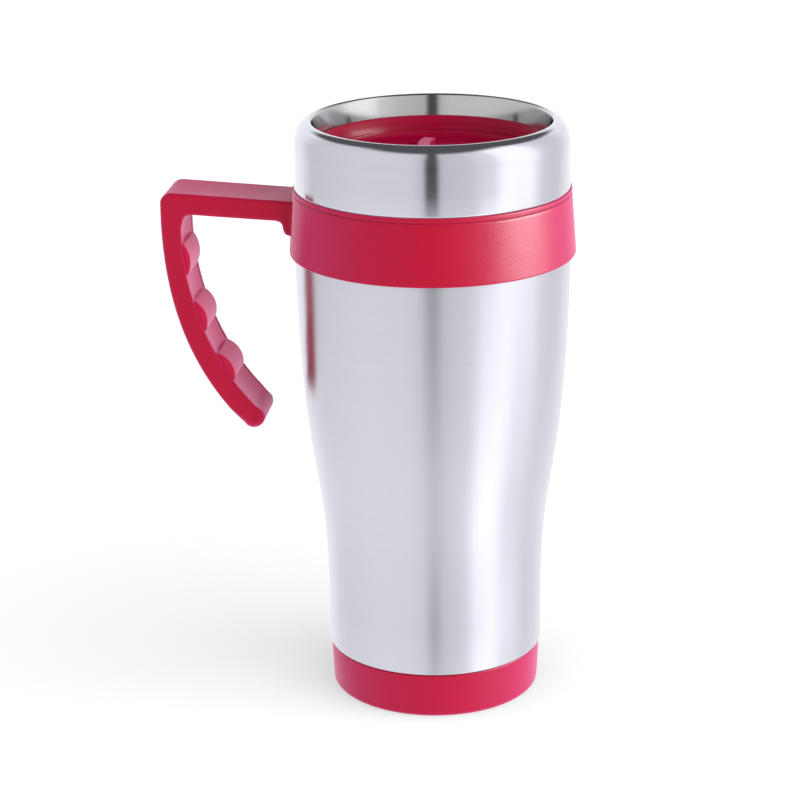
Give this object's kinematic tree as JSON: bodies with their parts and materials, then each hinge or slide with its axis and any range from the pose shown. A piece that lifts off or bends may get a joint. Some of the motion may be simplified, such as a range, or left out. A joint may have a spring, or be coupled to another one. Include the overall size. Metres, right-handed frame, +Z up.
{
  "type": "insulated travel mug",
  "caption": "Double-walled steel travel mug with a waisted body, a plastic band carrying an open hook handle, and a recessed push-in lid with a sliding drink hole cover.",
  "frame": {"origin": "on the mug's axis, in the plane it stands on", "axes": "+Z up along the mug's axis; the handle points along -X; the slider opens along -X"},
  "size_m": [0.1234, 0.0856, 0.179],
  "materials": {
    "brushed_steel": "satin, fine horizontal brushing",
    "polished_steel": "polished, nearly mirror bright",
    "red_plastic": "satin with a fine moulded texture",
    "grip_plastic": "soft satin",
    "silicone": "matt, milky",
    "black_rubber": "matt"
  },
  "bodies": {
    "mug": {"outer_shell": "brushed_steel", "rim_collar": "polished_steel", "inner_liner": "brushed_steel", "shell_bottom": "brushed_steel", "base_cap": "red_plastic", "non_slip_pad": "black_rubber", "handle_band": "red_plastic", "grip_insert": "grip_plastic"},
    "gasket": {"lid_gasket": "silicone"},
    "lid": {"lid_top": "red_plastic", "lid_underplate": "red_plastic"},
    "slider": {"slider": "red_plastic", "slider_seal": "silicone"}
  },
  "joints": [
    {"name": "lid_lift", "type": "slide", "parent": "mug", "child": "gasket", "axis": [0, 0, 1], "range_m": [0, 0.045]},
    {"name": "lid_turn", "type": "hinge", "parent": "gasket", "child": "lid", "pos_m": [0, 0, 0.1623], "axis": [0, 0, 1], "continuous": true},
    {"name": "slider_slide", "type": "slide", "parent": "lid", "child": "slider", "axis": [-1, 0, 0], "range_m": [0, 0.01]}
  ]
}
